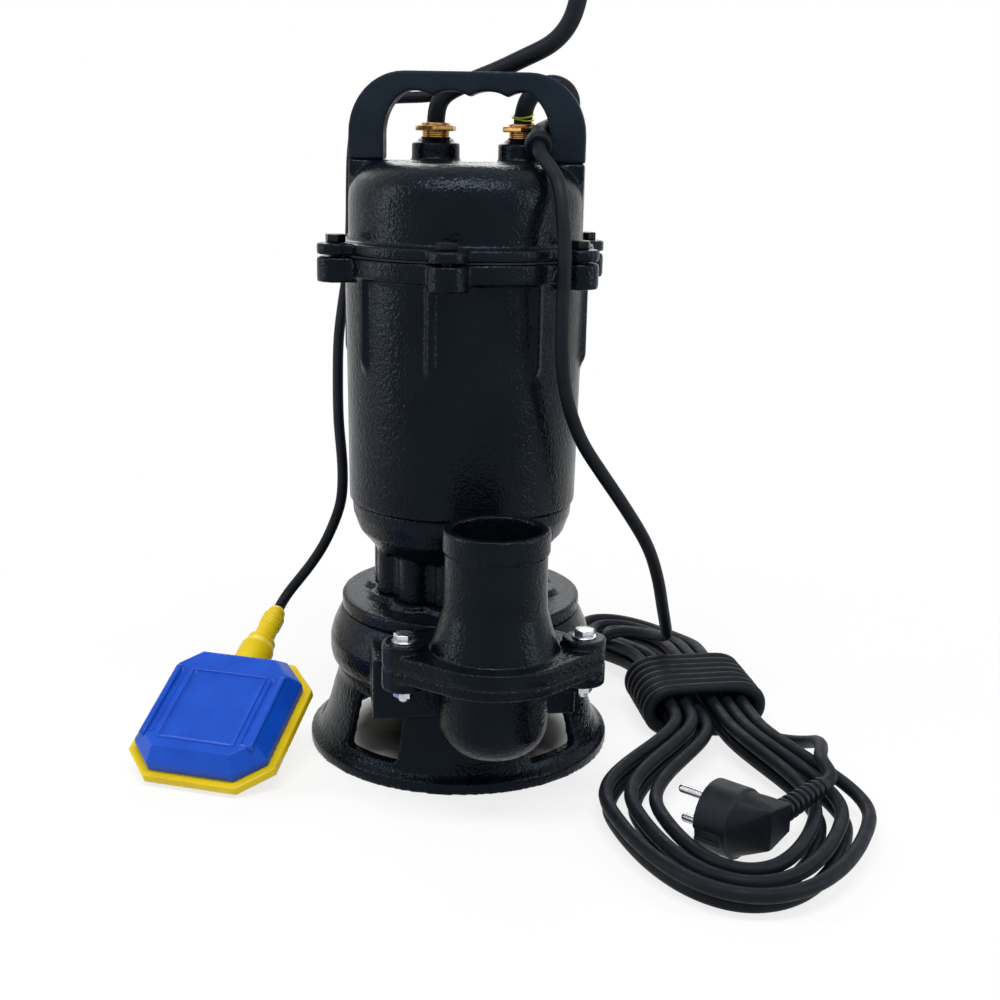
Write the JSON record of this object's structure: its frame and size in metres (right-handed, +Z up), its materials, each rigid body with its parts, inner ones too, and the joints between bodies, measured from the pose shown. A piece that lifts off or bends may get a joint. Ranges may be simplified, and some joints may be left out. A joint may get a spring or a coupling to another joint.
{
  "type": "submersible sump pump",
  "caption": "Upright submersible sump pump with a strainer foot, side outlet, carrying handle, tethered float switch and a bound supply cable with a plug.",
  "frame": {"origin": "on the pump's axis, at the centre of the foot ring's bore in the plane that it stands on", "axes": "+Z up along the pump's axis, -Y to the front where the outlet is, X along the handle"},
  "size_m": [0.4198, 0.4008, 0.4643],
  "materials": {
    "black_paint": "gloss black paint over a coarse casting",
    "matte_black_paint": "matte dark paint",
    "black_plastic": "matte black moulding",
    "black_rubber": "satin black rubber",
    "gasket_rubber": "matte black sheet",
    "brass": "turned brass",
    "zinc": "zinc-plated steel",
    "black_steel": "blackened steel",
    "steel": "ground steel",
    "bearing_steel": "polished bearing steel",
    "lamination": "stacked electrical steel",
    "copper": "varnished copper wire",
    "aluminium": "cast aluminium",
    "cast_iron": "bare cast iron",
    "ceramic": "ground ceramic",
    "capacitor_plastic": "white moulded case",
    "terminal_plastic": "white moulded block",
    "wire_green": "yellow-green plastic sheath",
    "float_blue": "blue moulded shell",
    "float_yellow": "yellow moulded shell"
  },
  "bodies": {
    "pump": {"strainer_base": "black_paint", "suction_plate": "cast_iron", "volute_casing": "black_paint", "volute_lid": "black_paint", "lower_bracket": "black_paint", "motor_housing": "black_paint", "cover_gasket": "gasket_rubber", "top_cover": "black_paint", "handle": "matte_black_paint", "handle_screws": "zinc", "cover_bolts": "black_steel", "gland_nuts": "brass", "gland_seals": "black_rubber", "discharge_spout": "black_paint", "discharge_gasket": "gasket_rubber", "discharge_bolts": "zinc", "discharge_nuts": "zinc", "casing_screws": "black_steel", "stator_core": "lamination", "stator_windings": "copper", "upper_bearing_bracket": "aluminium", "capacitor": "capacitor_plastic", "terminal_block": "terminal_plastic", "bearing_outer_rings": "bearing_steel", "seal_seat": "ceramic", "wire_tie": "wire_green", "float_sleeve": "black_rubber", "float_lead": "black_rubber", "supply_sleeve": "black_rubber", "sleeve_collar": "black_rubber", "supply_lead": "black_rubber", "supply_hank": "black_rubber", "supply_wraps": "black_rubber", "supply_tail": "black_rubber", "plug_body": "black_plastic", "plug_pins": "steel", "plug_strain_relief": "black_plastic"},
    "rotor": {"shaft": "steel", "rotor_core": "lamination", "rotor_end_rings": "aluminium", "impeller": "cast_iron", "impeller_nut": "zinc", "bearing_inner_rings": "bearing_steel", "seal_face": "black_plastic", "seal_spring": "steel"},
    "ball_sets": {"bearing_balls": "bearing_steel"},
    "float": {"float_shell_upper": "float_blue", "float_shell_lower": "float_yellow", "float_neck": "float_yellow", "float_switch": "terminal_plastic"},
    "switch_ball": {"float_ball": "bearing_steel"}
  },
  "joints": [
    {"name": "rotor_spin", "type": "hinge", "parent": "pump", "child": "rotor", "pos_m": [0, 0, 0], "axis": [0, 0, 1], "continuous": true},
    {"name": "balls_orbit", "type": "hinge", "parent": "pump", "child": "ball_sets", "pos_m": [0, 0, 0], "axis": [0, 0, 1], "continuous": true},
    {"name": "float_tilt", "type": "hinge", "parent": "pump", "child": "float", "pos_m": [-0.1184, 0.0101, 0.0667], "axis": [-0.9854, 0.1702, 0], "range_deg": [0, 60]},
    {"name": "ball_roll", "type": "slide", "parent": "float", "child": "switch_ball", "axis": [0.1526, 0.8834, 0.4431], "range_m": [0, 0.014]}
  ],
  "couplings": [
    {"joint": "balls_orbit", "follows": "rotor_spin", "ratio": 0.384}
  ]
}
